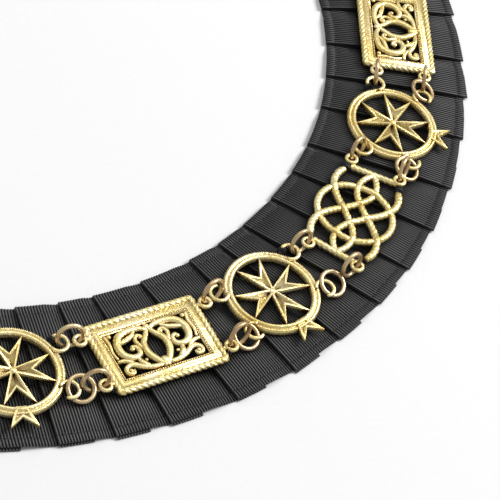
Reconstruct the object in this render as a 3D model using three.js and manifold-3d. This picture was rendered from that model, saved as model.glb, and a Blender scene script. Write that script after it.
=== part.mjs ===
// Chain of office: a closed circle of cast gilt links, joined by jump rings and sewn flat on a
// collar of knife-pleated black grosgrain ribbon, lying on a surface as it is put down.
// Millimetres, +Z up. The origin is the collar's centre on the surface. The front faces -Y.
import * as THREE from 'three';
import { mergeVertices } from 'three/addons/utils/BufferGeometryUtils.js';
import Module from 'manifold-3d';

const wasm = await Module();
wasm.setup();

// Ribbon collar
const RIBBON_INNER = 172.5; // radius of the neck edge
const RIBBON_OUTER = 235.0; // radius of the outer edge, 2.5 in of ribbon further out
const PLEATS = 56;
const VALLEY_Z = 1.1; // top of the ribbon where a pleat slips under its neighbour
const CREST_Z = 3.4; // top of the ribbon at a folded edge
const SHOULDER_SHARE = 0.6; // share of a pleat at which it starts down to the valley
const SHOULDER_Z = 2.6; // top of the ribbon there
const VALLEY_SHARE = 0.975; // share of a pleat at which the next folded edge rises
const PLEAT_JUT = 0.8; // how far a folded edge juts past the outer radius
const FIRST_FOLD = THREE.MathUtils.degToRad(1.68); // from the front, at mid width
const FOLD_LEAN = THREE.MathUtils.degToRad(0.7); // how much further round its outer end is

// The chain lies on the ribbon
const LINKS = 22;
const LINK_RADIUS = 203.2; // from the collar's centre to a link's centre
const BASE_Z = 3.7; // underside of the metal, just clear of the pleats
const LOOP_Z = 6.4; // middle of every ear and eyelet

// Cross link
const RIM_OUTER = 20.0;
const RIM_INNER = 16.2;
const RIM_TOP = 6.8;
const CROSS_TIP = 16.8; // the eight points run into the rim
const CROSS_NOTCH = 7.6;
const CROSS_NECK = 1.6;
// One arm of the cross: degrees from its middle, and distance from the ring's centre.
const CROSS_ARM = [[-45, CROSS_NECK], [-22.5, CROSS_TIP], [0, CROSS_NOTCH], [22.5, CROSS_TIP]];
const CROSS_HEIGHT = [4.2, 6.6];
const TAIL_ROOT = [2.0, 16.0]; // half width and distance from the ring's centre
const TAIL_TIP = [5.4, 25.4];
const TAIL_NOTCH = 20.8;
const TAIL_HEIGHT = [4.4, 6.6];
const EAR_AT = [19.5, 10.6]; // along the chain, and across it
const EAR_OUTER = 4.4;
const EAR_INNER = 3.0;
const EAR_THICK = 1.3;

// Plate link
const PLATE_SIZE = [49.2, 33.2];
const PLATE_WINDOW = [36.6, 20.8];
const PLATE_HEIGHT = [BASE_Z, 6.8];
const SCROLL_HEIGHT = [4.2, 6.2];
const SCROLL_WIDTH = 2.4;
const SCROLL_AT = [9.6, 1.4]; // centre of a half's big scroll
const SCROLL_OUTER = 8.0;
// The curves of a half, each by its start, its bend and its end; the ends run into the frame.
const STEM_CURVE = [[6.2, -11.4], [2.2, 0], [0, 11.4]];
const FOOT_CURVE = [[19.3, -4.0], [13.0, -8.0], [8.5, -11.4]];
const PLATE_EYELET_AT = [[27.6, 10.9], [27.6, -10.9]];

// Knot link
const STRAND_WIDTH = 2.5;
const STRAND_HEIGHT = [BASE_Z, 6.4];
const STRAND_ROUTE = [
  [-20.6, 12.4], [-17.1, 13.8], [-13.2, 14.1], [-9.4, 13.1], [-5.9, 11.0], [-2.6, 8.1], [0.2, 5.3],
  [3.0, 2.6], [6.0, 0.0], [9.6, -2.4], [13.2, -3.7], [17.1, -3.6], [20.6, -2.3], [24.0, 0.0],
];
const OVAL_HALF = [14.6, 16.3];
const BAR_WIDTH = 2.4;
const BAR_INNER_END = [23.1, 10.6];
const BAR_OUTER_END = [25.1, -10.8];
const KNOT_EYELET_AT = [[26.3, 10.9], [27.6, -10.9]];

// Eyelets and jump rings
const EYELET_OUTER = 3.1;
const EYELET_INNER = 2.15;
const EYELET_THICK = 1.1;
const WIRE_RADIUS = 0.6;
const RING_RADIUS = 5.2; // of the wire's middle
const RING_CHORD = 8.2; // between the two places where an outer ring dips through its loops
const WIDEST_CHORD = 8.8; // the same, of an inner ring, which spans from eyelet to ear
const RING_SIDES = 3;
const RING_STEPS = 7;
const RING_LEAN = THREE.MathUtils.degToRad(78);
const FLAT_RING_LEAN = THREE.MathUtils.degToRad(20);
const FLAT_RING_SHIFT = 2.6; // of the flatter outer ring's centre, from its ear
const FLAT_RING_Z = 6.1;

const gilt = new THREE.MeshStandardMaterial({ color: 0xd9b95c, roughness: 0.35, metalness: 1.0 });
const wornGilt = new THREE.MeshStandardMaterial({ color: 0xb09060, roughness: 0.4, metalness: 1.0 });
const grosgrain = new THREE.MeshStandardMaterial({ color: 0x1c1c1e, roughness: 0.8, metalness: 0.0 });

// ---- solids -------------------------------------------------------------------------------

function solidOf(geometry) {
  geometry.deleteAttribute('normal');
  geometry.deleteAttribute('uv');
  const merged = mergeVertices(geometry, 1e-4);
  return new wasm.Manifold(new wasm.Mesh({
    numProp: 3,
    vertProperties: new Float32Array(merged.attributes.position.array),
    triVerts: new Uint32Array(merged.index.array),
  }));
}

function geometryOf(solid) {
  const mesh = solid.getMesh();
  const geometry = new THREE.BufferGeometry();
  geometry.setAttribute('position', new THREE.BufferAttribute(mesh.vertProperties, 3));
  geometry.setIndex(new THREE.BufferAttribute(mesh.triVerts, 1));
  geometry.computeVertexNormals();
  return geometry;
}

function prism(shape, [low, high], curveSegments = 3) {
  const geometry = new THREE.ExtrudeGeometry(shape, {
    depth: high - low, bevelEnabled: false, curveSegments, steps: 1,
  });
  return solidOf(geometry.translate(0, 0, low));
}

function union(solids) {
  return solids.reduce((sum, solid) => sum.add(solid));
}

function polygon(points) {
  return new THREE.Shape(points.map(([x, y]) => new THREE.Vector2(x, y)));
}

function annulus(x, y, outer, inner) {
  const shape = new THREE.Shape();
  shape.absarc(x, y, outer, 0, 2 * Math.PI, false);
  const hole = new THREE.Path();
  hole.absarc(x, y, inner, 0, 2 * Math.PI, true);
  shape.holes.push(hole);
  return shape;
}

function openArc(x, y, outer, inner, start, end) {
  const shape = new THREE.Shape();
  shape.absarc(x, y, outer, start, end, false);
  shape.absarc(x, y, inner, end, start, true);
  return shape;
}

// A flat strip of even width that follows a curve.
function strip(curve, width, steps) {
  const points = curve.getPoints(steps);
  const left = [];
  const right = [];
  points.forEach((point, i) => {
    const ahead = points[Math.min(i + 1, steps)];
    const behind = points[Math.max(i - 1, 0)];
    const along = ahead.clone().sub(behind).normalize();
    const across = new THREE.Vector2(-along.y, along.x).multiplyScalar(width / 2);
    left.push(point.clone().sub(across));
    right.unshift(point.clone().add(across));
  });
  return new THREE.Shape([...left, ...right]);
}

function flatLoop(x, y, outer, inner, thick, curveSegments) {
  const heights = [LOOP_Z - thick / 2, LOOP_Z + thick / 2];
  return prism(annulus(x, y, outer, inner), heights, curveSegments);
}

// ---- ribbon collar ------------------------------------------------------------------------

// Each pleat starts high, at its folded edge, and ends low, where it slips under its neighbour.
function ribbonCollar() {
  const profile = [
    [0, CREST_Z, PLEAT_JUT], [SHOULDER_SHARE, SHOULDER_Z, 0], [VALLEY_SHARE, VALLEY_Z, 0],
  ];
  const stations = [];
  for (let pleat = 0; pleat < PLEATS; pleat += 1) {
    for (const [share, top, jut] of profile) {
      const angle = FIRST_FOLD + ((pleat + share) / PLEATS) * 2 * Math.PI;
      stations.push({ angle, top, outer: RIBBON_OUTER + jut });
    }
  }
  const corners = stations.flatMap(({ angle, top, outer }) => {
    const neckEdge = [
      RIBBON_INNER * Math.cos(angle - FOLD_LEAN), RIBBON_INNER * Math.sin(angle - FOLD_LEAN),
    ];
    const outerEdge = [outer * Math.cos(angle + FOLD_LEAN), outer * Math.sin(angle + FOLD_LEAN)];
    return [[...neckEdge, 0], [...outerEdge, 0], [...outerEdge, top], [...neckEdge, top]];
  });
  const index = [];
  stations.forEach((station, i) => {
    const here = 4 * i;
    const next = 4 * ((i + 1) % stations.length);
    for (let side = 0; side < 4; side += 1) {
      const after = (side + 1) % 4;
      index.push(here + side, next + after, here + after, here + side, next + side, next + after);
    }
  });
  const geometry = new THREE.BufferGeometry();
  geometry.setAttribute('position', new THREE.Float32BufferAttribute(corners.flat(), 3));
  geometry.setIndex(index);
  geometry.computeVertexNormals();
  return geometry;
}

// ---- jump rings ---------------------------------------------------------------------------

function wireRing(centre, along, side) {
  const normal = new THREE.Vector3().crossVectors(along, side).normalize();
  const geometry = new THREE.TorusGeometry(RING_RADIUS, WIRE_RADIUS, RING_SIDES, RING_STEPS);
  const turn = new THREE.Matrix4().makeBasis(along, side, normal);
  return solidOf(geometry.applyMatrix4(turn.setPosition(centre)));
}

// A ring that stands on the chord from one loop towards the other and leans to the neck.
function leaningRing(from, towards, neckward, chord) {
  const along = towards.clone().sub(from).setZ(0).normalize();
  const side = neckward.clone().multiplyScalar(Math.cos(RING_LEAN)).setZ(Math.sin(RING_LEAN));
  side.addScaledVector(along, -side.dot(along)).normalize();
  const rise = Math.sqrt(RING_RADIUS ** 2 - (chord / 2) ** 2);
  const centre = from.clone().addScaledVector(along, chord / 2).addScaledVector(side, rise);
  return wireRing(centre, along, side);
}

// A ring that lies almost flat, linked with an ear.
function flatRing(ear, towards, neckward) {
  const along = towards.clone().sub(ear).setZ(0).normalize();
  const side = neckward.clone().multiplyScalar(Math.cos(FLAT_RING_LEAN));
  side.setZ(Math.sin(FLAT_RING_LEAN));
  side.addScaledVector(along, -side.dot(along)).normalize();
  const centre = ear.clone().addScaledVector(along, FLAT_RING_SHIFT).setZ(FLAT_RING_Z);
  return wireRing(centre, along, side);
}

// ---- links --------------------------------------------------------------------------------
// A link is drawn with its centre at the origin, +X along the chain and +Y towards the neck.

function eyelets(side, places) {
  return places.map(([x, y]) => flatLoop(side * x, y, EYELET_OUTER, EYELET_INNER, EYELET_THICK, 3));
}

function isCross(i) {
  return i % 2 === 0;
}

function isPlate(i) {
  return i % 4 === 1;
}

// Where a link's loops are: end is -1 or 1 along the chain, side is 1 at the neck, -1 outside.
function loopAt(i, end, side) {
  if (isCross(i)) {
    return new THREE.Vector3(end * EAR_AT[0], side * EAR_AT[1], LOOP_Z);
  }
  const eyelets = isPlate(i) ? PLATE_EYELET_AT : KNOT_EYELET_AT;
  const [x, y] = side > 0 ? eyelets[0] : eyelets[1];
  return new THREE.Vector3(end * x, y, LOOP_Z);
}

// From one link's frame to the next link's, and back.
function fromNeighbour(point, end) {
  const step = (end * 2 * Math.PI) / LINKS;
  const centre = new THREE.Vector3(0, LINK_RADIUS, 0);
  return point.clone().sub(centre).applyAxisAngle(new THREE.Vector3(0, 0, 1), step).add(centre);
}

function crossOutline() {
  const points = [];
  for (let arm = 0; arm < 4; arm += 1) {
    const middle = (arm * Math.PI) / 2;
    for (const [turn, reach] of CROSS_ARM) {
      const angle = middle + THREE.MathUtils.degToRad(turn);
      points.push([reach * Math.cos(angle), reach * Math.sin(angle)]);
    }
  }
  return polygon(points);
}

function openEar(end, side) {
  const start = THREE.MathUtils.degToRad(-150);
  const reach = THREE.MathUtils.degToRad(115);
  const shape = openArc(0, 0, EAR_OUTER, EAR_INNER, start, reach);
  const ear = prism(shape, [-EAR_THICK / 2, EAR_THICK / 2], 2);
  const mirrored = end > 0 ? ear : ear.mirror([1, 0, 0]);
  const placed = side > 0 ? mirrored : mirrored.mirror([0, 1, 0]);
  return placed.translate([end * EAR_AT[0], side * EAR_AT[1], LOOP_Z]);
}

function crossLink(i) {
  const tail = polygon([
    [-TAIL_ROOT[0], -TAIL_ROOT[1]], [-TAIL_TIP[0], -TAIL_TIP[1]], [0, -TAIL_NOTCH],
    [TAIL_TIP[0], -TAIL_TIP[1]], [TAIL_ROOT[0], -TAIL_ROOT[1]],
  ]);
  const pieces = [
    prism(annulus(0, 0, RIM_OUTER, RIM_INNER), [BASE_Z, RIM_TOP], 9),
    prism(crossOutline(), CROSS_HEIGHT),
    prism(tail, TAIL_HEIGHT),
  ];
  for (const end of [-1, 1]) {
    pieces.push(openEar(end, 1), openEar(end, -1));
    const ear = loopAt(i, end, -1);
    const eyelet = fromNeighbour(loopAt(i + end, -end, -1), end);
    const neckward = new THREE.Vector3(0, 1, 0);
    pieces.push(flatRing(ear, eyelet, neckward), leaningRing(eyelet, ear, neckward, RING_CHORD));
  }
  return geometryOf(union(pieces));
}

function rectangle([length, width]) {
  const [x, y] = [length / 2, width / 2];
  return [[-x, -y], [x, -y], [x, y], [-x, y]];
}

function bentStrip(side, [start, bend, end], steps) {
  const points = [start, bend, end].map(([x, y]) => new THREE.Vector2(side * x, y));
  return strip(new THREE.QuadraticBezierCurve(...points), SCROLL_WIDTH, steps);
}

function plateLink() {
  const frame = polygon(rectangle(PLATE_SIZE));
  frame.holes.push(polygon(rectangle(PLATE_WINDOW).reverse()));
  const pieces = [prism(frame, PLATE_HEIGHT)];
  for (const side of [-1, 1]) {
    const [x, y] = SCROLL_AT;
    const scroll = annulus(side * x, y, SCROLL_OUTER, SCROLL_OUTER - SCROLL_WIDTH);
    pieces.push(prism(scroll, SCROLL_HEIGHT, 4));
    pieces.push(prism(bentStrip(side, STEM_CURVE, 4), SCROLL_HEIGHT));
    pieces.push(prism(bentStrip(side, FOOT_CURVE, 3), SCROLL_HEIGHT));
    pieces.push(...eyelets(side, PLATE_EYELET_AT));
  }
  return geometryOf(union(pieces));
}

// One strand of the knot: from a hook at a corner, over the middle, and round to the far bar.
function knotStrand(flipX, flipY) {
  const points = STRAND_ROUTE.map(([x, y]) => new THREE.Vector2(flipX * x, flipY * y));
  return strip(new THREE.SplineCurve(points), STRAND_WIDTH, 6);
}

function ovalShape() {
  const [x, y] = OVAL_HALF;
  const half = STRAND_WIDTH / 2;
  const shape = new THREE.Shape();
  shape.absellipse(0, 0, x + half, y + half, 0, 2 * Math.PI, false, 0);
  const hole = new THREE.Path();
  hole.absellipse(0, 0, x - half, y - half, 0, 2 * Math.PI, true, 0);
  shape.holes.push(hole);
  return shape;
}

function knotLink() {
  const pieces = [prism(ovalShape(), STRAND_HEIGHT, 6)];
  for (const side of [-1, 1]) {
    const ends = [BAR_INNER_END, BAR_OUTER_END].map(([x, y]) => new THREE.Vector2(side * x, y));
    const bar = strip(new THREE.LineCurve(...ends), BAR_WIDTH, 1);
    pieces.push(prism(knotStrand(side, 1), STRAND_HEIGHT));
    pieces.push(prism(knotStrand(side, -1), STRAND_HEIGHT));
    pieces.push(prism(bar, [BASE_Z, LOOP_Z + EYELET_THICK / 2]));
    pieces.push(...eyelets(side, KNOT_EYELET_AT));
  }
  return geometryOf(union(pieces));
}

function innerRing(i) {
  const cross = isCross(i);
  const ear = cross ? loopAt(i, 1, 1) : fromNeighbour(loopAt(i + 1, -1, 1), 1);
  const eyelet = cross ? fromNeighbour(loopAt(i + 1, -1, 1), 1) : loopAt(i, 1, 1);
  const chord = Math.min(eyelet.distanceTo(ear), WIDEST_CHORD);
  return geometryOf(leaningRing(eyelet, ear, new THREE.Vector3(0, 1, 0), chord));
}

// ---- assembly -----------------------------------------------------------------------------

function named(name, geometry, material) {
  const mesh = new THREE.Mesh(geometry, material);
  mesh.name = name;
  return mesh;
}

const chainOfOffice = new THREE.Group();
chainOfOffice.add(named('ribbon_collar', ribbonCollar(), grosgrain));

const counts = { cross_link: 0, plate_link: 0, knot_link: 0, jump_ring_inner: 0 };

function numbered(kind) {
  counts[kind] += 1;
  return `${kind}_${String(counts[kind]).padStart(2, '0')}`;
}

for (let i = 0; i < LINKS; i += 1) {
  const seat = new THREE.Group();
  seat.rotation.z = (i * 2 * Math.PI) / LINKS;
  const place = new THREE.Group();
  place.position.set(0, -LINK_RADIUS, 0);
  if (isCross(i)) {
    place.add(named(numbered('cross_link'), crossLink(i), gilt));
  } else if (isPlate(i)) {
    place.add(named(numbered('plate_link'), plateLink(), gilt));
  } else {
    place.add(named(numbered('knot_link'), knotLink(), gilt));
  }
  place.add(named(numbered('jump_ring_inner'), innerRing(i), wornGilt));
  seat.add(place);
  chainOfOffice.add(seat);
}

export default chainOfOffice;
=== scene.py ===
# %% [markdown]
# # Chain of office on a pleated ribbon collar
# A mayor's chain is a circle of cast gilt links joined by jump rings. This one is sewn on a
# collar of black grosgrain ribbon, laid in knife pleats so that a straight ribbon turns round
# the neck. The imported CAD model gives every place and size; here each part gets its real shape
# and finish. All lengths below are in millimetres until a mesh is placed, in metres, at the end.

# %% Tools and the fixed frame
import math
import random

import bmesh
import bpy
from mathutils import Matrix, Vector


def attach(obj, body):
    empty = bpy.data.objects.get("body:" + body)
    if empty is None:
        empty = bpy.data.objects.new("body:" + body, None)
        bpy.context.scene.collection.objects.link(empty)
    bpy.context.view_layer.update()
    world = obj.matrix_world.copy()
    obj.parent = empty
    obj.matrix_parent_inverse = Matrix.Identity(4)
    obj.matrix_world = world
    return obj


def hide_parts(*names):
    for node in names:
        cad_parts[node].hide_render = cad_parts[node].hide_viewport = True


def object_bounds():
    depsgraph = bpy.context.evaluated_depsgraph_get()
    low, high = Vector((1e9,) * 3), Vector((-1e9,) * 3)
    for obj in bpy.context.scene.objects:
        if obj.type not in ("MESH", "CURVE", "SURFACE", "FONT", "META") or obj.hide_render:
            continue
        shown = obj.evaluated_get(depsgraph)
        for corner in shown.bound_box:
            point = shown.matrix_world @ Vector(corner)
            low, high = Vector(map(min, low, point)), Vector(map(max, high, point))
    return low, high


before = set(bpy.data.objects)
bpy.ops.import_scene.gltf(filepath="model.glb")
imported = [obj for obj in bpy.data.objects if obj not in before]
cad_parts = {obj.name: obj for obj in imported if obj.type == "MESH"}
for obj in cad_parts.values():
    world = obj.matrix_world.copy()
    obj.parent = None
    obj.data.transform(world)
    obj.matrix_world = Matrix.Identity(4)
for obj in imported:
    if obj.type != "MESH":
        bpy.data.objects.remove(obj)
cad_low, cad_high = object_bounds()
MM = 0.001
cad_size = [round(x / MM, 1) for x in cad_high - cad_low]
print("frame:", len(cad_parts), "nodes, box in mm", cad_size)

# %% [markdown]
# ## Camera
# The collar is seen from in front of its right-hand side, looking down at about forty nine
# degrees, with the camera rolled so that the curve runs up across the picture. A long lens keeps
# the links' proportions even. The camera is set first, because everything else is judged by it.

# %% Camera
CAMERA_AT = (-178.8, -657.1, 670.6)
HEADING, PITCH, ROLL = 29.31, 48.90, 21.18
LENS = 159.0

camera_data = bpy.data.cameras.new("camera")
camera_data.lens = LENS
camera_data.sensor_width = 36.0
camera_data.sensor_fit = "HORIZONTAL"
camera = bpy.data.objects.new("camera", camera_data)
bpy.context.scene.collection.objects.link(camera)
turn = (
    Matrix.Rotation(math.radians(-HEADING), 4, "Z")
    @ Matrix.Rotation(math.radians(90 - PITCH), 4, "X")
    @ Matrix.Rotation(math.radians(ROLL), 4, "Z")
)
camera.matrix_world = Matrix.Translation(Vector(CAMERA_AT) * MM) @ turn
bpy.context.scene.camera = camera
print("camera", round((Vector(CAMERA_AT) * MM).length, 3), "m from the collar's centre")

# %% [markdown]
# ## Materials
# Colours are picked as sRGB hex values, as a maker would read them from a swatch, and one
# function turns them to the linear values that the shader works in. One more adds a node with
# its settings and links, so that a material reads as a short recipe.

# %% Colour and node helpers
def linear(hex_colour):
    """An sRGB hex colour as linear RGBA."""
    parts = [int(hex_colour[i : i + 2], 16) / 255 for i in (1, 3, 5)]
    return (*[c / 12.92 if c <= 0.04045 else ((c + 0.055) / 1.055) ** 2.4 for c in parts], 1.0)


def add(tree, kind, settings=None, links=None):
    """A node of that kind: settings are its properties or sockets, links are socket = output."""
    node = tree.nodes.new(kind)
    for name, value in (settings or {}).items():
        if name in node.inputs:
            node.inputs[name].default_value = value
        else:
            setattr(node, name, value)
    for name, output in (links or {}).items():
        tree.links.new(output, node.inputs[name])
    return node


def new_material(name, **sockets):
    """An empty material with one Principled shader, and its tree and shader."""
    material = bpy.data.materials.new(name)
    material.use_nodes = True
    tree = material.node_tree
    tree.nodes.clear()
    shader = add(tree, "ShaderNodeBsdfPrincipled", sockets)
    add(tree, "ShaderNodeOutputMaterial", links={"Surface": shader.outputs["BSDF"]})
    return material, tree, shader


def ramp(tree, factor, stops):
    """A colour ramp whose stops are (position, hex colour)."""
    node = add(tree, "ShaderNodeValToRGB", links={"Fac": factor})
    elements = node.color_ramp.elements
    while len(elements) < len(stops):
        elements.new(0.5)
    for element, (position, colour) in zip(elements, stops):
        element.position = position
        element.color = linear(colour)
    return node.outputs["Color"]


def noise(tree, vector, scale, detail=3.0, roughness=0.5):
    """Noise whose grain is about 1 / scale metres across."""
    settings = {"Scale": scale, "Detail": detail, "Roughness": roughness}
    return add(tree, "ShaderNodeTexNoise", settings, {"Vector": vector}).outputs["Fac"]


# %% [markdown]
# ### Gilt cast brass
# The links are sand-cast brass with a thin gilding. Casting leaves a fine grain of a few tenths
# of a millimetre, and handling polishes the high spots, so the roughness wanders. Brown tarnish
# and painted shade darken the corners, where no cloth reaches; ambient occlusion finds them. Old
# gilding is partly lacquer and dirt, so the metal is mixed with a little plain colour, which also
# keeps the shaded sides from going black. The jump rings are plain wire, more worn and smoother.

# %% Gilt metals
GRAIN = 1 / (1.3 * MM)  # coarser than the real grain, which would not show
BLOTCH = 1 / (14 * MM)
# How far ambient occlusion reaches when it paints tarnish and shade into the corners.
TARNISH_AND_SHADE_REACH = 2.5 * MM  # how close walls have to be to hold tarnish


def gilded(name, colours, tarnish_and_shade, roughness, bump, metallic):
    """Gilt metal: its colours from dull to bright, the tarnish and painted shade in its corners,
    its range of roughness, the height of its grain in millimetres, and how metallic it is."""
    material, tree, shader = new_material(name, Metallic=metallic)
    place = add(tree, "ShaderNodeTexCoord").outputs["Object"]
    blotches = noise(tree, place, BLOTCH, 4.0, 0.6)
    clean = ramp(tree, blotches, list(zip((0.3, 0.5, 0.7), colours)))
    # Tarnish and painted shade: ambient occlusion browns and darkens the corners, where shade
    # falls.
    corners = add(tree, "ShaderNodeAmbientOcclusion", {"samples": 8, "Distance": TARNISH_AND_SHADE_REACH})
    depth = add(
        tree,
        "ShaderNodeMapRange",
        {"From Min": 0.15, "From Max": 0.75, "To Min": 1.0, "To Max": 0.0},
        {"Value": corners.outputs["AO"]},
    )
    tarnished_and_shaded = add(tree, "ShaderNodeMix", {"data_type": "RGBA"}, {"Factor": depth.outputs["Result"]})
    tree.links.new(clean, tarnished_and_shaded.inputs[6])
    tarnished_and_shaded.inputs[7].default_value = linear(tarnish_and_shade)
    tree.links.new(tarnished_and_shaded.outputs[2], shader.inputs["Base Color"])
    grain = noise(tree, place, GRAIN, 3.0, 0.6)
    rough = add(
        tree,
        "ShaderNodeMapRange",
        {"From Min": 0.3, "From Max": 0.7, "To Min": roughness[0], "To Max": roughness[1]},
        {"Value": grain},
    )
    tree.links.new(rough.outputs["Result"], shader.inputs["Roughness"])
    skin = add(
        tree, "ShaderNodeBump", {"Strength": 1.0, "Distance": bump * MM}, {"Height": grain}
    )
    tree.links.new(skin.outputs["Normal"], shader.inputs["Normal"])
    return material


gilt = gilded(
    "gilt_cast_brass", ("#d6bb70", "#e8d492", "#f5e6b6"), "#84480a", (0.22, 0.38), 0.3, 0.8
)
worn_gilt = gilded(
    "worn_gilt_wire", ("#987f5c", "#bca279", "#dcc79b"), "#452f1a", (0.24, 0.38), 0.04, 0.75
)

# %% [markdown]
# ### Black grosgrain
# Grosgrain is a dyed rayon or silk ribbon with cord-like ribs across it. The mesh raises the
# ribs; the material rounds them, paints shade into the grooves between them and the creases by
# the folds, adds the fine warp threads that bind them, a low sheen from the fibres, and the
# slight greying of an old black. Ribs and threads follow the flat cut's own UV map, round every
# fold.

# %% Ribbon and thread materials
THREAD_PITCH = 0.5  # real warp threads are finer than this and would not show
RIB_PITCH = 1.2
RIB_RELIEF, THREAD_RELIEF = 0.85 * MM, 0.05 * MM
# How far from a fold the painted shade in the creases reaches.
CREASE_SHADE_REACH = 6.5 * MM  # how far from a fold the cloth darkens
BAND = math.pi / 10 / MM  # a wave texture's scale for bands one millimetre apart

grosgrain, tree, shader = new_material("black_grosgrain", Roughness=0.54)
uv = add(tree, "ShaderNodeUVMap", {"uv_map": "ribbon_cut"}).outputs["UV"]
place = add(tree, "ShaderNodeTexCoord").outputs["Object"]
faded = noise(tree, place, 1 / (30 * MM), 3.0, 0.6)
dye = ramp(tree, faded, [(0.35, "#50504f"), (0.65, "#5e5e5d")])
bands = {
    "wave_type": "BANDS", "bands_direction": "X", "Scale": BAND / RIB_PITCH,
    "Phase Offset": math.pi,
}
ribbing = add(tree, "ShaderNodeTexWave", bands, {"Vector": uv}).outputs["Fac"]
# Painted shade between the ribs: the dye is darkened along each rib's groove.
painted_rib_shade = ramp(tree, ribbing, [(0.3, "#0c0c0c"), (0.8, "#ffffff")])
dye_with_rib_shade = add(tree, "ShaderNodeMix", {"data_type": "RGBA", "blend_type": "MULTIPLY"})
dye_with_rib_shade.inputs["Factor"].default_value = 1.0
tree.links.new(dye, dye_with_rib_shade.inputs[6])
tree.links.new(painted_rib_shade, dye_with_rib_shade.inputs[7])
# Painted shade by the folds: ambient occlusion darkens the cloth in the creases.
crease_shade_occlusion = add(tree, "ShaderNodeAmbientOcclusion", {"samples": 8, "Distance": CREASE_SHADE_REACH})
painted_crease_shade = ramp(tree, crease_shade_occlusion.outputs["AO"], [(0.4, "#040404"), (0.84, "#ffffff")])
cloth_with_painted_shade = add(tree, "ShaderNodeMix", {"data_type": "RGBA", "blend_type": "MULTIPLY"})
cloth_with_painted_shade.inputs["Factor"].default_value = 1.0
tree.links.new(dye_with_rib_shade.outputs[2], cloth_with_painted_shade.inputs[6])
tree.links.new(painted_crease_shade, cloth_with_painted_shade.inputs[7])
tree.links.new(cloth_with_painted_shade.outputs[2], shader.inputs["Base Color"])
shader.inputs["Sheen Weight"].default_value = 0.05
shader.inputs["Sheen Roughness"].default_value = 0.4
shader.inputs["Specular IOR Level"].default_value = 0.42
warp = {
    "wave_type": "BANDS", "bands_direction": "Y", "Scale": BAND / THREAD_PITCH,
    "Distortion": 0.6,
}
weave = add(tree, "ShaderNodeTexWave", warp, {"Vector": uv}).outputs["Fac"]
threads = add(
    tree, "ShaderNodeBump", {"Strength": 0.6, "Distance": THREAD_RELIEF}, {"Height": weave}
)
cords = add(
    tree,
    "ShaderNodeBump",
    {"Strength": 1.0, "Distance": RIB_RELIEF},
    {"Height": ribbing, "Normal": threads.outputs["Normal"]},
)
tree.links.new(cords.outputs["Normal"], shader.inputs["Normal"])

thread_black, tree, shader = new_material("black_sewing_thread", Roughness=0.55)
place = add(tree, "ShaderNodeTexCoord").outputs["Object"]
plies = noise(tree, place, 1 / (0.8 * MM))
spun = ramp(tree, plies, [(0.3, "#0b0b0c"), (0.7, "#1d1d20")])
tree.links.new(spun, shader.inputs["Base Color"])

# %% [markdown]
# ## Meshes
# A piece is drawn once in its link's own frame, with +X along the chain and +Y to the neck, and
# then copied to each seat round the collar. A copy's place goes in its mesh, so its object stays
# at the origin and a pattern on object coordinates differs from link to link.

# %% Mesh helpers
def piece(name, bm, place, material, body="root", smooth=True):
    """A finished object from a bmesh in millimetres, set in place and riding on its body."""
    mesh = bpy.data.meshes.new(name)
    bm.to_mesh(mesh)
    mesh.transform(Matrix.Scale(MM, 4) @ place)
    for polygon in mesh.polygons:
        polygon.use_smooth = smooth
    obj = bpy.data.objects.new(name, mesh)
    bpy.context.scene.collection.objects.link(obj)
    mesh.materials.append(material)
    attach(obj, body)
    return obj


def tidy(bm, gap=0.001):
    """Merges doubled corners and points every face outwards."""
    bmesh.ops.remove_doubles(bm, verts=bm.verts, dist=gap)
    bmesh.ops.recalc_face_normals(bm, faces=bm.faces)


def spline(points, steps, closed=False):
    """Evenly stepped points on a Catmull-Rom curve through the given ones."""
    given = [Vector(p).to_3d() for p in points]
    count = len(given)
    spans = count if closed else count - 1
    dense = []
    for span in range(spans):
        if closed:
            p0, p1, p2, p3 = (given[(span + k) % count] for k in (-1, 0, 1, 2))
        else:
            p1, p2 = given[span], given[span + 1]
            p0 = given[span - 1] if span else 2 * p1 - p2
            p3 = given[span + 2] if span + 2 < count else 2 * p2 - p1
        for k in range(16):
            t = k / 16
            dense.append(
                0.5
                * (
                    2 * p1
                    + (p2 - p0) * t
                    + (2 * p0 - 5 * p1 + 4 * p2 - p3) * t * t
                    + (3 * p1 - p0 - 3 * p2 + p3) * t * t * t
                )
            )
    dense.append(given[0] if closed else given[-1])
    lengths = [0.0]
    for a, b in zip(dense, dense[1:]):
        lengths.append(lengths[-1] + (b - a).length)
    even, at = [], 0
    for k in range(steps + 1):
        goal = lengths[-1] * k / steps
        while at < len(dense) - 2 and lengths[at + 1] < goal:
            at += 1
        run = lengths[at + 1] - lengths[at]
        even.append(dense[at].lerp(dense[at + 1], (goal - lengths[at]) / run if run else 0.0))
    return even[:-1] if closed else even


def tube(bm, path, radius, sides=8, closed=False):
    """A grid rolled round a path that lies about level. radius is a number or a function of the
    share of the path, the distance in millimetres and the angle round it."""
    count = len(path)
    rows = count if closed else count - 1
    step = sum((b - a).length for a, b in zip(path, path[1:])) / max(1, count - 1)
    sheet = bmesh.ops.create_grid(bm, x_segments=sides, y_segments=rows, size=0.5)["verts"]
    ends = [[], []]
    for vert in sheet:
        column = round((vert.co.x + 0.5) * sides)
        row = round((vert.co.y + 0.5) * rows)
        here = path[row % count]
        ahead = path[(row + 1) % count] if closed else path[min(row + 1, count - 1)]
        behind = path[(row - 1) % count] if closed else path[max(row - 1, 0)]
        forward = (ahead - behind).normalized()
        across = Vector((-forward.y, forward.x, 0)).normalized()
        upward = forward.cross(across)
        if upward.z < 0:
            upward.negate()
        angle = 2 * math.pi * column / sides
        reach = radius(row / rows, row * step, angle) if callable(radius) else radius
        vert.co = here + across * (reach * math.cos(angle)) + upward * (reach * math.sin(angle))
        if not closed and row in (0, rows) and column < sides:
            ends[row == rows].append(vert)
    if not closed:
        for ring in ends:
            bmesh.ops.contextual_create(bm, geom=ring)
    return sheet


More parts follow.
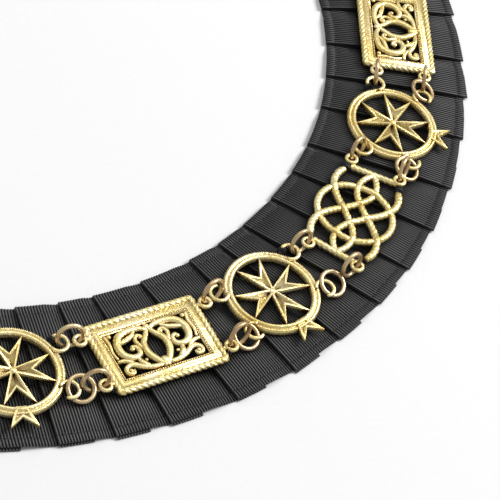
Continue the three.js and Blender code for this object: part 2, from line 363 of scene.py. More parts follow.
def arc(x, y, z, radius, start, end, steps):
    """Points on a level arc, from start to end in degrees."""
    turns = [math.radians(start + (end - start) * k / steps) for k in range(steps + 1)]
    return [Vector((x + radius * math.cos(t), y + radius * math.sin(t), z)) for t in turns]


def bead(bm, x, y, z, size, squash=0.8, detail=2):
    """A small round bead."""
    place = Matrix.Translation((x, y, z)) @ Matrix.Diagonal((size, size, size * squash, 1))
    bmesh.ops.create_icosphere(bm, subdivisions=detail, radius=1.0, matrix=place)


# %% [markdown]
# ### Seats round the collar
# Twenty two links close the circle: every second one is a cross in a ring, and between them
# plates and knots take turns. A chain sewn by hand isn't perfect, so each link is turned and
# shifted a little on its seat, and the jump rings follow the loops that they join.

# %% Seats
LINKS = 22
LINK_RADIUS = 203.2
BASE_Z = 3.7
LOOP_Z = 6.4
EAR_AT = (19.5, 10.6)
PLATE_EYELETS = ((27.6, 10.9), (27.6, -10.9))
KNOT_EYELETS = ((26.5, 11.5), (26.8, -10.5))


def kind_of(i):
    return "cross" if i % 2 == 0 else "plate" if i % 4 == 1 else "knot"


chance = random.Random(22)
# How far each link is off its even place: along the chain, to the neck, and turned, in degrees.
WANDER = {}
for i in range(LINKS):
    along, neckward = chance.uniform(-0.5, 0.5), chance.uniform(-0.4, 0.4)
    WANDER[i] = (along, neckward, chance.uniform(-1.0, 1.0))
# The links by the front as measured, to half a millimetre and half a degree: the first knot is
# turned most, and sits a little outwards.
WANDER.update({
    0: (0, -1, 1.5), 1: (0, 0, 0), 2: (-1, -1, -3.5), 3: (0.5, -1.5, 6), 4: (-1, -0.5, 1.5),
    5: (-1.5, -0.5, -2.5),
})


def seat(i):
    """Link i's frame, with the small wander of a hand-sewn link."""
    x, y, degrees = WANDER[i % LINKS]
    return (
        Matrix.Rotation(i * 2 * math.pi / LINKS, 4, "Z")
        @ Matrix.Translation((x, y - LINK_RADIUS, 0))
        @ Matrix.Rotation(math.radians(degrees), 4, "Z")
    )


def loop_at(i, end, side):
    """Where a link's loop is: end -1 or 1 along the chain, side 1 at the neck and -1 outside."""
    if kind_of(i) == "cross":
        x, y = EAR_AT[0], side * EAR_AT[1]
    else:
        x, y = (PLATE_EYELETS if kind_of(i) == "plate" else KNOT_EYELETS)[side < 0]
    return seat(i) @ Vector((end * x, y, LOOP_Z))


# %% [markdown]
# ## Ribbon collar
# The real collar is one straight ribbon, 62.5 mm wide, folded into knife pleats. Each pleat
# starts at a folded edge that stands up from the cloth, slopes down along the chain and slips
# under the next fold. There it runs on for some way, turns back under the next pleat, and comes
# up again as that pleat's fold. Folds follow the ribs, so all the taper that closes the circle is
# in the part that slips under. The mesh starts as a grid, the flat cut of ribbon, and every
# corner is carried to its place by one folding function, which keeps the cloth's true length.

# %% Sizes of the collar
RIBBON_INNER = 172.5
RIBBON_WIDTH = 62.5
PLEATS = 56
UNDERLAP = 14.0  # depth of a fold at the outer edge
FOLD_RADIUS = 0.45
HIDDEN_Z = 0.4  # the cloth that runs on under a fold
LOWEST_CLOTH = 0.3  # its middle, so that its underside stays on the floor
RIB_SHAPE = (0.3, -0.15, -0.15)  # heights at a rib's crest and at the feet of its two flanks
LEAN = 1.41 / 62.5  # degrees that a fold line leans per millimetre outwards
FOLD_PHASE = 1.68  # degrees from the front to the first fold line at mid width
MARGIN_CREST, RISE = 1.9, 1.15  # height of a fold at its margins, and how much more amid them
VALLEY = 0.45  # height where a pleat slips under the next fold
SLOPE_FROM, SLOPE_RUN = 0.6, 0.36  # shares of a pleat's width: where it turns down, for how far
# Hand-laid pleats are uneven: how far a fold is off its even place, outside and at the neck.
UNEVEN = {
    0: (0.9, 1.35), 1: (-0.1, 0.65), 2: (-1.05, -1.0), 3: (-0.2, -0.35), 4: (0.35, 1.25),
    5: (0.3, 0.15), 6: (0.4, -1.05), 7: (-0.2, -0.65), 8: (-0.4, -0.8), 9: (-0.4, -1.15),
    10: (0.7, 0.2), 11: (0.4, 0.15), 12: (-0.6, 0.3), 13: (-0.1, 0.95),
}
for pleat in range(PLEATS):
    UNEVEN.setdefault(pleat, (chance.uniform(-0.5, 0.5), chance.uniform(-0.8, 0.8)))
EDGE_JUT = [chance.uniform(0.2, 0.9) for _ in range(PLEATS)]
EDGE_SKEW = [chance.uniform(-0.5, 0.5) for _ in range(PLEATS)]
TAB = [chance.uniform(0.3, 0.9) for _ in range(PLEATS)]
SLACK = [chance.uniform(0.0, 0.4) for _ in range(PLEATS)]


def fold_angle(pleat, across):
    """Direction of a fold line, in radians, at a distance across the ribbon from the neck edge."""
    outside, neck = UNEVEN[pleat % PLEATS]
    share = across / RIBBON_WIDTH
    degrees = -90 + FOLD_PHASE + pleat * 360 / PLEATS + LEAN * (across - RIBBON_WIDTH / 2)
    return math.radians(degrees + neck + (outside - neck) * share)


def shown_width(pleat, across):
    """How much of a pleat shows between its own fold and the next."""
    radius = RIBBON_INNER + across
    return radius * (fold_angle(pleat + 1, across) - fold_angle(pleat, across))


def hidden_depth(pleat, across):
    """How far a pleat runs on under the next one before it turns back."""
    return UNDERLAP + (shown_width(pleat, RIBBON_WIDTH) - shown_width(pleat, across)) / 2


SHOWN = [shown_width(p, RIBBON_WIDTH) for p in range(PLEATS)]


# %% Folding function
def ease(share):
    share = min(1.0, max(0.0, share))
    return share * share * (3 - 2 * share)


def crest_height(pleat, across):
    """Height of a folded edge: the margins are stitched down and the middle stands up."""
    margin = ease(min(across, RIBBON_WIDTH - across) / 13)
    return MARGIN_CREST + RISE * margin - SLACK[pleat % PLEATS] * margin


def top_height(pleat, out, across):
    """Height of a pleat's upper side, at a distance out from its own fold."""
    share = out / shown_width(pleat, across)
    slope = 1 - ease((share - SLOPE_FROM) / SLOPE_RUN)
    return VALLEY + (crest_height(pleat, across) - VALLEY) * (1 - 0.22 * share) * slope


def place_on_collar(pleat, out, across, height, jut=0.0):
    """A point at a distance along the chain from a pleat's fold line."""
    outward = max(0.0, (across - 45) / (RIBBON_WIDTH - 45))
    inward = max(0.0, (18 - across) / 18)
    share = min(1.0, max(0.0, out / shown_width(pleat, across)))
    skew = EDGE_SKEW[pleat % PLEATS]
    askew = EDGE_JUT[pleat % PLEATS] * (1 - share) ** 2 + skew * (share - 0.5) + jut
    radius = RIBBON_INNER + across
    angle = fold_angle(pleat, across) + out / radius
    radius += outward * askew - inward * 0.5 * skew * (share - 0.5)
    return Vector((radius * math.cos(angle), radius * math.sin(angle), height))


def on_ribbon(pleat, out, across, lift=0.0):
    """A point on the part of a pleat that shows."""
    return place_on_collar(pleat, out, across, top_height(pleat, out, across) + lift)


def under_fold(pleat, across, share):
    """A point of the hidden cloth under a pleat, from its neighbour (0), by the turn (1), to its
    own fold (2)."""
    depth = hidden_depth(pleat - 1, across)
    top = crest_height(pleat, across) - 2 * FOLD_RADIUS
    out = depth * (share if share < 1 else 2 - share)
    height = HIDDEN_Z if share <= 1 else 0.75 + (top - 0.75) * ease(1 - out / 4)
    return place_on_collar(pleat, out, across, height, TAB[pleat % PLEATS])


# %% Ribbon mesh
FLANKS = len(RIB_SHAPE)
STITCH_IN, STITCH_OUT = 3.8, RIBBON_WIDTH - 3.8
STITCH_SUNK = 0.6  # how deep the stitching pulls the cloth in
CLOTH_THICK = 0.3 * MM
ROWS = (0, 3.3, STITCH_IN, 4.3, 16, 31, 47, 58.2, STITCH_OUT, 59.2, RIBBON_WIDTH)
HIDDEN = (0.55, 0.96, 1.04, 1.5, 1.8, 1.93, 2.0)
TURN = (45, 90, 135)
TURN_LENGTH = math.pi * FOLD_RADIUS

# Each column of the grid is a pleat, the part of it, a number that finds the place in that part,
# and the distance along the cut. Every pleat's visible part starts at a whole number of ribs.
UNSEEN_RIBS = round((2 * UNDERLAP + TURN_LENGTH) / RIB_PITCH)
columns, start = [], 0.0
for pleat in range(PLEATS):
    for share in HIDDEN:
        columns.append((pleat, "hidden", share, start - TURN_LENGTH - UNDERLAP * (2 - share)))
    for degrees in TURN:
        columns.append((pleat, "turn", degrees, start - TURN_LENGTH * (1 - degrees / 180)))
    flanks = FLANKS * round(SHOWN[pleat] / RIB_PITCH)
    for k in range(flanks + 1):
        columns.append((pleat, "shown", SHOWN[pleat] * k / flanks, start + k * RIB_PITCH / FLANKS))
    start += flanks * RIB_PITCH / FLANKS + RIB_PITCH * UNSEEN_RIBS
columns.append((PLEATS, "hidden", HIDDEN[0], start - TURN_LENGTH - UNDERLAP * (2 - HIDDEN[0])))


def cloth_point(column, across):
    """Where the folding carries a column's point at a distance from the neck edge."""
    pleat, part, place, flat = columns[column]
    if part == "hidden":
        return under_fold(pleat, across, place)
    if part == "turn":
        swing = math.radians(place)
        height = crest_height(pleat, across) - FOLD_RADIUS * (1 + math.cos(swing))
        return place_on_collar(pleat, -FOLD_RADIUS * math.sin(swing), across, height)
    shown = shown_width(pleat, across)
    if place > shown:
        jut = TAB[(pleat + 1) % PLEATS]
        return place_on_collar(pleat + 1, place - shown, across, HIDDEN_Z, jut)
    sunk = STITCH_SUNK if across in (STITCH_IN, STITCH_OUT) else 0.0
    lift = RIB_SHAPE[round(flat / RIB_PITCH * FLANKS) % FLANKS] * (0.4 if sunk else 1.0)
    height = max(LOWEST_CLOTH, top_height(pleat, place, across) + lift - sunk)
    return place_on_collar(pleat, place, across, height)


cloth = bmesh.new()
bmesh.ops.create_grid(cloth, x_segments=len(columns) - 1, y_segments=len(ROWS) - 1, size=0.5)
cut = cloth.loops.layers.uv.new("ribbon_cut")
flat_of = {}
for vert in cloth.verts:
    column = round((vert.co.x + 0.5) * (len(columns) - 1))
    across = ROWS[round((vert.co.y + 0.5) * (len(ROWS) - 1))]
    flat_of[vert] = (columns[column][3], across)
    vert.co = cloth_point(column, across)
for face in cloth.faces:
    for loop in face.loops:
        length, across = flat_of[loop.vert]
        loop[cut].uv = (length * MM, across * MM)
bmesh.ops.remove_doubles(cloth, verts=cloth.verts, dist=0.005)
ribbon = piece("pleated_ribbon", cloth, Matrix.Identity(4), grosgrain)
cloth.free()
thick = ribbon.modifiers.new("cloth thickness", "SOLIDIFY")
thick.thickness = CLOTH_THICK
thick.offset = -0.5
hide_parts("ribbon_collar")
print("ribbon", len(ribbon.data.polygons), "faces")

# %% [markdown]
# ### Stitching
# A running stitch along both margins holds the pleats. Each stitch is a tiny thread lozenge that
# sinks into the ribs, made hundreds of times, so it has only a few faces.

# %% Stitches
STITCH_LENGTH, STITCH_STEP = 2.2, 3.3
THREAD_HALF = (0.3, 0.28)  # half a stitch's width and height

stitches = bmesh.new()
for pleat in range(PLEATS):
    for across in (STITCH_IN, STITCH_OUT):
        width = shown_width(pleat, across) - 2.5
        count = round(width / STITCH_STEP)
        for k in range(count):
            out = 1.2 + (k + 0.5) * width / count
            here = on_ribbon(pleat, out, across + chance.uniform(-0.15, 0.15), -0.1)
            ahead = on_ribbon(pleat, out + 0.5, across, -0.1)
            heading = math.atan2(ahead.y - here.y, ahead.x - here.x) + chance.uniform(-0.1, 0.1)
            place = Matrix.Translation(here) @ Matrix.Rotation(heading, 4, "Z")
            shape = Matrix.Diagonal((STITCH_LENGTH / 2, *THREAD_HALF, 1))
            bmesh.ops.create_icosphere(stitches, subdivisions=1, radius=1.0, matrix=place @ shape)
stitching = piece("margin_stitching", stitches, Matrix.Identity(4), thread_black)
stitches.free()
print("stitching", len(stitching.data.polygons), "faces")

# %% [markdown]
# ## Cross links
# A ring with a finely reeded outer bead and a half-round inner band holds an eight-pointed
# cross. The ring is a profile spun once round. The cross starts as a flat outline, extruded to
# its depth, with its face inset so that a raised line is left along every edge. A swallowtail
# point lies over the ring outside, and four open ears take the jump rings.

# %% Cross link
RIM_STEPS = 320
RIM_PROFILE = (
    (19.8, 3.8), (20.0, 4.4), (20.0, 5.4), (19.7, 6.2), (19.2, 6.5), (18.7, 6.3), (18.35, 5.7),
    (18.1, 5.9), (17.8, 6.5), (17.2, 6.8), (16.6, 6.5), (16.25, 5.8), (16.2, 4.4), (16.4, 3.8),
)
CROSS_TIP, CROSS_NOTCH, CROSS_NECK = 16.8, 7.6, 1.7
CROSS_ARM = ((-45, CROSS_NECK), (-22.5, CROSS_TIP), (0, CROSS_NOTCH), (22.5, CROSS_TIP))
TAIL = ((-2.2, -16.2), (-5.4, -25.2), (0, -20.6), (5.4, -25.2), (2.2, -16.2))
REED_IN, REED_DOWN = 0.25, 0.45  # how far the grooves of the reeding are cut
EAR_RADIUS, EAR_WIRE = 3.7, 0.82


def casting(bm, outline, low, high, line, sink):
    """A flat casting with a raised line of the given width along its edges."""
    face = bm.faces.new([bm.verts.new((x, y, low)) for x, y in outline])
    raised = bmesh.ops.extrude_face_region(bm, geom=[face])["geom"]
    top = [part for part in raised if isinstance(part, bmesh.types.BMVert)]
    bmesh.ops.translate(bm, verts=top, vec=(0, 0, high - low))
    lid = [part for part in raised if isinstance(part, bmesh.types.BMFace)]
    bmesh.ops.recalc_face_normals(bm, faces=bm.faces)
    bmesh.ops.inset_region(bm, faces=lid, thickness=0.12, depth=0.1, use_even_offset=True)
    bmesh.ops.inset_region(bm, faces=lid, thickness=line, depth=0, use_even_offset=True)
    bmesh.ops.inset_region(bm, faces=lid, thickness=0.18, depth=-sink, use_even_offset=True)
    return lid


def star_outline():
    """The cross's outline: four arms, each with two points and a notch between them."""
    outline = []
    for arm in range(4):
        for degrees, reach in CROSS_ARM:
            angle = math.radians(arm * 90 + degrees)
            outline.append((reach * math.cos(angle), reach * math.sin(angle)))
    return outline


def cross_link():
    bm = bmesh.new()
    ring = [bm.verts.new((r, 0, z)) for r, z in RIM_PROFILE]
    edges = [bm.edges.new((a, b)) for a, b in zip(ring, ring[1:] + ring[:1])]
    bmesh.ops.spin(
        bm, geom=ring + edges, cent=(0, 0, 0), axis=(0, 0, 1), angle=2 * math.pi,
        steps=RIM_STEPS, use_merge=True,
    )
    for vert in bm.verts:
        radius = math.hypot(vert.co.x, vert.co.y)
        step = round(math.atan2(vert.co.y, vert.co.x) / (2 * math.pi) * RIM_STEPS)
        if radius > 18.5 and vert.co.z > 5.0 and step % 2:
            vert.co.x *= 1 - REED_IN / radius
            vert.co.y *= 1 - REED_IN / radius
            vert.co.z -= REED_DOWN
    casting(bm, star_outline(), 4.2, 6.5, 0.66, 1.1)
    casting(bm, TAIL, 4.3, 6.4, 0.75, 0.8)
    bead(bm, 0, 0, 6.2, 1.6, 0.5)
    for end in (-1, 1):
        for side in (-1, 1):
            path = arc(*EAR_AT, LOOP_Z, EAR_RADIUS, -150, 118, 22)
            path = [Vector((end * p.x, side * p.y, p.z)) for p in path]
            tube(bm, path, lambda share, at, angle: EAR_WIRE * min(1, 0.75 + 3 * (1 - share)), 10)
    tidy(bm)
    return bm


master = cross_link()
print("cross link", len(master.faces), "faces")
number = 0
for i in range(0, LINKS, 2):
    number += 1
    made = piece(f"cross_link_{number:02d}_gilt", master, seat(i), gilt)
    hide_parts(f"cross_link_{number:02d}")
master.free()

# %% [markdown]
# ## Plate links
# A plate is a moulded frame with a rope border, a row of milled beads inside it, and an openwork
# field of scrolls. The frame is a block whose top face is inset again and again, each time higher
# or lower, which mitres the corners by itself. The rope is a tube whose section has two lobes
# that turn as it goes round.

# %% Plate link
PLATE = (49.2, 33.2)
ROPE_RADIUS, ROPE_PITCH = 1.4, 2.5
BEAD_PITCH = 1.05
MILLED_BEAD = 0.44
# Steps of the moulding from the outside in: how wide, and how far up or down.
MOULDING = ((1.2, 0.6), (0.3, 0.6), (1.7, -0.5), (0.25, 0.4), (0.4, 0.0), (0.25, -0.6), (0.9, 0.0))
MOULDING_WIDTH = sum(width for width, _ in MOULDING)
BLOCK_TOP = 5.0
EYELET_RADIUS = 2.15
# The right half of the field: control points, and radius at the start, middle and end.
SCROLLS = (
    (((0.6, 7.6), (3.6, 9.0), (8.4, 9.2), (12.8, 7.6), (15.0, 3.4), (14.0, -1.0), (10.8, -2.8),
      (7.8, -1.8), (7.6, 0.9), (9.4, 2.0), (10.4, 0.6)), (0.95, 1.7, 0.7)),
    (((0.0, -10.0), (2.6, -6.6), (4.7, -2.4), (4.4, 2.0), (2.2, 5.0), (0.2, 8.0)), (1.2, 1.5, 0.9)),
    (((1.6, -9.0), (5.6, -8.8), (9.6, -7.4), (13.2, -5.4), (16.2, -6.4), (16.2, -8.8), (13.9, -9.0),
      (13.6, -7.6)), (1.0, 1.15, 0.7)),
    (((5.2, 9.0), (7.6, 6.6), (11.0, 5.4), (14.4, 4.6)), (0.6, 1.1, 0.8)),
    (((4.8, -1.6), (6.2, 1.6), (7.0, 4.2), (5.6, 6.2), (3.8, 5.4), (4.2, 4.2)), (0.8, 0.95, 0.6)),
    (((6.4, -8.4), (8.8, -6.0), (9.6, -3.0)), (0.8, 1.3, 0.7)),
    (((11.4, -6.6), (13.0, -4.2), (15.6, -2.8), (18.0, -2.6)), (0.6, 1.0, 0.7)),
    (((18.0, 9.8), (17.4, 6.0), (17.9, 2.0), (17.2, -1.6)), (0.9, 0.8, 0.5)),
)
FIELD_BEADS = (
    (9.8, 1.0, 1.0), (14.8, -7.9, 0.9), (4.6, 5.0, 0.8), (16.2, 8.9, 1.0), (6.9, -5.2, 0.7),
)


def rope(radius, pitch, depth, lobes=2):
    """A tube radius that turns a lobed section along the way, like laid rope."""

    def at(share, distance, angle):
        phase = (lobes * angle - 2 * math.pi * distance / pitch) / 2
        return radius * (1 + depth * (abs(math.cos(phase)) - 0.7))

    return at


def plate_link():
    bm = bmesh.new()
    length, width = PLATE
    block = Matrix.Translation((0, 0, (BASE_Z + BLOCK_TOP) / 2)) @ Matrix.Diagonal(
        (length - 2.2, width - 2.2, BLOCK_TOP - BASE_Z, 1)
    )
    bmesh.ops.create_cube(bm, size=1.0, matrix=block)
    lid = [face for face in bm.faces if face.normal.z > 0.9]
    base = [face for face in bm.faces if face.normal.z < -0.9]
    for step, depth in MOULDING:
        bmesh.ops.inset_region(bm, faces=lid, thickness=step, depth=depth, use_even_offset=True)
    bmesh.ops.inset_region(bm, faces=base, thickness=MOULDING_WIDTH, depth=0, use_even_offset=True)
    rims = [edge for face in lid + base for edge in face.edges]
    bmesh.ops.delete(bm, geom=lid + base, context="FACES_ONLY")
    bmesh.ops.bridge_loops(bm, edges=rims)
    half_x, half_y = length / 2 - ROPE_RADIUS, width / 2 - ROPE_RADIUS
    corners = []
    for x, y, start in ((1, 1, 0), (-1, 1, 90), (-1, -1, 180), (1, -1, 270)):
        corners += arc(x * (half_x - 0.8), y * (half_y - 0.8), 5.35, 0.8, start, start + 90, 3)
    around = []
    for a, b in zip(corners, corners[1:] + corners[:1]):
        count = max(1, round((b - a).length / 0.42))
        around += [a.lerp(b, k / count) for k in range(count)]
    tube(bm, around, rope(ROPE_RADIUS, ROPE_PITCH, 0.36, 4), 16, closed=True)
    inset = 1.1 + MOULDING_WIDTH - 0.5
    field_x, field_y = length / 2 - inset, width / 2 - inset
    for x_side in (-1, 1):
        for k in range(int(2 * field_y / BEAD_PITCH)):
            y = -field_y + (k + 0.5) * BEAD_PITCH
            bead(bm, x_side * field_x, y, 5.6, MILLED_BEAD, 1.0, 1)
        for k in range(int(2 * field_x / BEAD_PITCH)):
            x = -field_x + (k + 0.5) * BEAD_PITCH
            bead(bm, x, x_side * field_y, 5.6, MILLED_BEAD, 1.0, 1)
        for points, (start, middle, end) in SCROLLS:
            steps = 7 * (len(points) - 1) // 2 + 6
            path = spline([(x_side * x, y, 5.3) for x, y in points], steps)

            def thickness(share, distance, angle, start=start, middle=middle, end=end):
                swell = math.sin(math.pi * share)
                return start + (end - start) * share + (middle - (start + end) / 2) * swell

            tube(bm, path, thickness, 8)
        for x, y, size in FIELD_BEADS:
            bead(bm, x_side * x, y, 5.6, size)
        for x, y in PLATE_EYELETS:
            eyelet = arc(x_side * x, y, LOOP_Z - 0.2, EYELET_RADIUS, 0, 342, 19)
            tube(bm, eyelet, 0.95, 8, closed=True)
            bead(bm, x_side * (length / 2), y, 5.8, 1.1)
    bead(bm, 0, -7.6, 5.6, 1.9, 0.6)
    bead(bm, 0, 8.6, 5.6, 1.4, 0.7)
    tidy(bm)
    return bm


master = plate_link()
print("plate link", len(master.faces), "faces")
number = 0
for i in range(1, LINKS, 4):
    number += 1
    made = piece(f"plate_link_{number:02d}_gilt", master, seat(i), gilt)
    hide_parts(f"plate_link_{number:02d}")
master.free()

# %% [markdown]
# ## Knot links
# Four S-shaped strands and an oval cross over and under each other, cast with the lay of a rope,
# between two short rope bars. Each strand is a tube on a smooth route that rises over one
# crossing and dips under the next.

# %% Knot link
STRAND = 1.5
STRAND_Z = 5.1
WEAVE = 0.5  # how far a strand rises or dips at a crossing
EASE = 3.2  # how far from the crossing it starts to
ROUTE = (
    (-20.6, 12.4), (-17.1, 13.8), (-13.2, 14.1), (-9.4, 13.1), (-5.9, 11.0), (-2.6, 8.1),
    (0.2, 5.3), (3.0, 2.6), (6.0, 0.0), (9.6, -2.4), (13.2, -3.7), (17.1, -3.6), (20.6, -2.3),
    (24.0, 0.0),
)
OVAL = (14.6, 16.3)
BARS = ((23.1, 10.6), (25.1, -10.8))


def crossings(paths):
    """Each place where two level routes cross: path a, its step, path b, its step."""
    found = []
    for a in range(len(paths)):
        for b in range(a + 1, len(paths)):
            for i, (p, q) in enumerate(zip(paths[a], paths[a][1:])):
                for j, (r, s) in enumerate(zip(paths[b], paths[b][1:])):
                    if (p - r).length_squared > 4:
                        continue
                    d, e = q - p, s - r
                    det = d.x * e.y - d.y * e.x
                    if abs(det) < 1e-9:
                        continue
                    t = ((r.x - p.x) * e.y - (r.y - p.y) * e.x) / det
                    u = ((r.x - p.x) * d.y - (r.y - p.y) * d.x) / det
                    if 0 <= t < 1 and 0 <= u < 1:
                        found.append((a, i + t, b, j + u))
    return found


def woven(paths, step):
    """The routes with heights: over at one crossing and under at the next, eased between."""
    wanted = {k: {} for k in range(len(paths))}
    meets = crossings(paths)
    for a, i, b, j in meets:
        wanted[a][i], wanted[b][j] = None, None
    for a, i, b, j in sorted(meets):
        before = sorted(k for k in wanted[a] if k < i and wanted[a][k] is not None)
        height = -wanted[a][before[-1]] if before else 1
        if wanted[a][i] is None:
            wanted[a][i], wanted[b][j] = height, -height
    for k, path in enumerate(paths):
        for i, point in enumerate(path):
            lift = 0.0
            for at, height in wanted[k].items():
                gap = abs(at - i) * step
                if gap < EASE and height:
                    lift += height * (0.5 + 0.5 * math.cos(math.pi * gap / EASE))
            point.z += WEAVE * max(-1.0, min(1.0, lift))
    return paths


def knot_link():
    bm = bmesh.new()
    paths, step = [], 0.55
    for flip_x, flip_y in ((1, 1), (-1, 1), (1, -1), (-1, -1)):
        paths.append(spline([(flip_x * x, flip_y * y, STRAND_Z) for x, y in ROUTE], 104))
    turns = [2 * math.pi * k / 176 for k in range(177)]
    paths.append([Vector((OVAL[0] * math.cos(t), OVAL[1] * math.sin(t), STRAND_Z)) for t in turns])
    woven(paths, step)
    lay = rope(STRAND, 2.2, 0.16)

    def strand(share, distance, angle):
        taper = 1.12 - 0.2 * share if share > 0.04 else 0.85 + 6.75 * share
        return lay(share, distance, angle) * taper

    for path in paths[:4]:
        tube(bm, path, strand, 10)
    tube(bm, paths[4][:-1], lay, 10, closed=True)
    for side in (-1, 1):
        (x0, y0), (x1, y1) = BARS
        middle = (side * (x0 + x1) / 2, (y0 + y1) / 2, 5.2)
        bar = spline([(side * x0, y0, 5.3), middle, (side * x1, y1, 5.3)], 40)
        tube(bm, bar, rope(1.42, 2.4, 0.32, 3), 12)
        for x, y in KNOT_EYELETS:
            eyelet = arc(side * x, y, LOOP_Z - 0.2, EYELET_RADIUS, 0, 342, 19)
            tube(bm, eyelet, 0.9, 8, closed=True)
    tidy(bm)
    return bm


master = knot_link()
print("knot link", len(master.faces), "faces")
number = 0
for i in range(3, LINKS, 4):
    number += 1
    made = piece(f"knot_link_{number:02d}_gilt", master, seat(i), gilt)
    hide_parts(f"knot_link_{number:02d}")
master.free()

# %% [markdown]
# ## Jump rings
# Links are joined at the neck by one wire ring that stands steeply in both loops, and outside
# by two rings, one steep and one nearly flat. A ring is a small circle spun round: a torus.

# %% Jump rings
WIRE, RING = 0.9, 5.15  # the wire is a little heavier than real, so that it shows
RING_CHORD, WIDEST_CHORD = 8.2, 8.8
LEAN_STEEP, LEAN_FLAT = math.radians(78), math.radians(20)
FLAT_SHIFT, FLAT_Z = 4.6, 6.1


def wire_ring(bm, centre, along, side, ring=RING, wire=WIRE, sides=10, steps=36):
    """A torus whose plane holds along and side."""
    hoop = bmesh.new()
    placed = Matrix.Translation((ring, 0, 0)) @ Matrix.Rotation(math.pi / 2, 4, "X")
    bmesh.ops.create_circle(hoop, cap_ends=False, segments=sides, radius=wire, matrix=placed)
    bmesh.ops.spin(
        hoop, geom=hoop.verts[:] + hoop.edges[:], cent=(0, 0, 0), axis=(0, 0, 1),
        angle=2 * math.pi, steps=steps, use_merge=True,
    )
    tidy(hoop)
    basis = Matrix((along, side, along.cross(side))).transposed().to_4x4()
    hoop.transform(Matrix.Translation(centre) @ basis)
    bmesh.ops.recalc_face_normals(hoop, faces=hoop.faces)
    scratch = bpy.data.meshes.new("hoop")
    hoop.to_mesh(scratch)
    hoop.free()
    bm.from_mesh(scratch)
    bpy.data.meshes.remove(scratch)


def ring_axes(start, goal, lean):
    """Unit vectors along the chord, and across it, leaning up from the neck side."""
    along = (goal - start).to_2d().to_3d().normalized()
    middle = (start + goal) / 2
    neckward = Vector((-middle.x, -middle.y, 0)).normalized()
    side = neckward * math.cos(lean) + Vector((0, 0, math.sin(lean)))
    return along, (side - along * side.dot(along)).normalized()


def leaning_ring(bm, start, goal, chord):
    along, side = ring_axes(start, goal, LEAN_STEEP)
    rise = math.sqrt(RING**2 - (chord / 2) ** 2)
    wire_ring(bm, start + along * chord / 2 + side * rise, along, side)


def flat_ring(bm, ear, goal):
    along, side = ring_axes(ear, goal, LEAN_FLAT)
    centre = ear + along * FLAT_SHIFT
    centre.z = FLAT_Z
    wire_ring(bm, centre, along, side)


inner, outer = bmesh.new(), bmesh.new()
for i in range(LINKS):
    cross, other = (i, i + 1) if kind_of(i) == "cross" else (i + 1, i)
    end = 1 if cross == i else -1
    for side, bm in ((1, inner), (-1, outer)):
        ear = loop_at(cross % LINKS, end, side)
        eyelet = loop_at(other % LINKS, -end, side)
        if side > 0:
            leaning_ring(bm, eyelet, ear, min((eyelet - ear).length, WIDEST_CHORD))
        else:
            flat_ring(bm, ear, eyelet)
            leaning_ring(bm, eyelet, ear, RING_CHORD)
unmoved = Matrix.Identity(4)
rings_in = piece("jump_rings_neck_side", inner, unmoved, worn_gilt)
rings_out = piece("jump_rings_outer_side", outer, unmoved, worn_gilt)
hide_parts(*[f"jump_ring_inner_{k:02d}" for k in range(1, LINKS + 1)])
inner.free()
outer.free()
print("jump rings", len(rings_in.data.polygons) + len(rings_out.data.polygons), "faces")

# %% [markdown]
# ### Thread wraps
# Black thread lashes the chain to the ribbon: a few turns round a plate's outer eyelets, round a
# knot's hooks where they meet its bars, and round one ear of each cross.

# %% Thread wraps
# Where the turns go, by kind of link: x, y, and the direction in degrees of what they go round.
WRAPS = {
    "cross": ((17.9, 13.4, 30),),
    "plate": ((25.6, -12.2, 0), (-25.6, -12.2, 0)),
    "knot": ((21.9, 11.9, 0), (-21.9, 11.9, 0), (22.6, -12.1, 0)),
}
WRAP_RING, WRAP_WIRE = 1.5, 0.3

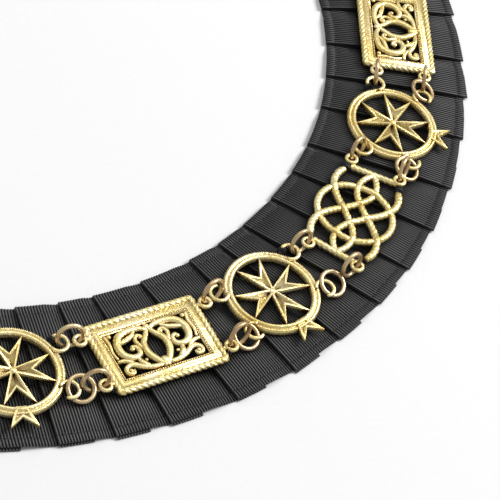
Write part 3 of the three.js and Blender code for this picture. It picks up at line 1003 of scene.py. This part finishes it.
lashing = bmesh.new()
for i in range(LINKS):
    for x, y, degrees in WRAPS[kind_of(i)]:
        heading = Vector((math.cos(math.radians(degrees)), math.sin(math.radians(degrees)), 0))
        for k in range(3):
            offset = heading * (0.55 * (k - 1))
            lean = chance.uniform(-0.25, 0.25)
            along = Vector((-heading.y, heading.x, 0)) + heading * lean
            centre = seat(i) @ Vector((x + offset.x, y + offset.y, 5.0))
            flat = (seat(i).to_3x3() @ along).normalized()
            size = WRAP_RING + chance.uniform(-0.15, 0.25)
            wire_ring(lashing, centre, flat, Vector((0, 0, 1)), size, WRAP_WIRE, 6, 16)
lashed = piece("thread_wraps", lashing, Matrix.Identity(4), thread_black)
lashing.free()
print("thread wraps", len(lashed.data.polygons), "faces")

# %% [markdown]
# ## Floor and light
# The collar lies on a plain white surface in a softly lit studio: a large lamp from the right
# and a little behind, and an even white surround that fills the shadows.

# %% Floor
FLOOR_HALF = 4000
floor_paint, tree, shader = new_material("matt_white_paper", Roughness=0.9)
place = add(tree, "ShaderNodeTexCoord").outputs["Object"]
fibres = noise(tree, place, 1 / (2 * MM))
paper = ramp(tree, fibres, [(0.3, "#cfcfce"), (0.7, "#d1d1d0")])
tree.links.new(paper, shader.inputs["Base Color"])
ground = bmesh.new()
bmesh.ops.create_grid(ground, x_segments=1, y_segments=1, size=FLOOR_HALF)
mesh = bpy.data.meshes.new("floor")
ground.to_mesh(mesh)
ground.free()
mesh.transform(Matrix.Scale(MM, 4))
mesh.materials.append(floor_paint)
floor = bpy.data.objects.new("floor", mesh)
bpy.context.scene.collection.objects.link(floor)

# %% Lamps and surround
def lamp(name, at, aim, size, watts, colour="#ffffff"):
    """A square area lamp that faces a point."""
    data = bpy.data.lights.new(name, "AREA")
    data.energy = watts
    data.size = size
    data.color = linear(colour)[:3]
    obj = bpy.data.objects.new(name, data)
    obj.location = at
    obj.rotation_euler = (Vector(aim) - Vector(at)).to_track_quat("-Z", "Y").to_euler()
    bpy.context.scene.collection.objects.link(obj)
    return obj


lamp("key", (2.75, 0.2, 2.4), (0.1, -0.15, 0), 1.4, 157)
lamp("top", (0.1, 0.6, 1.7), (0.1, -0.1, 0), 1.0, 8)
world = bpy.data.worlds.new("studio")
world.use_nodes = True
world.node_tree.nodes["Background"].inputs["Color"].default_value = linear("#fbfcff")
world.node_tree.nodes["Background"].inputs["Strength"].default_value = 0.565
bpy.context.scene.world = world
bpy.context.scene.view_settings.view_transform = "Standard"
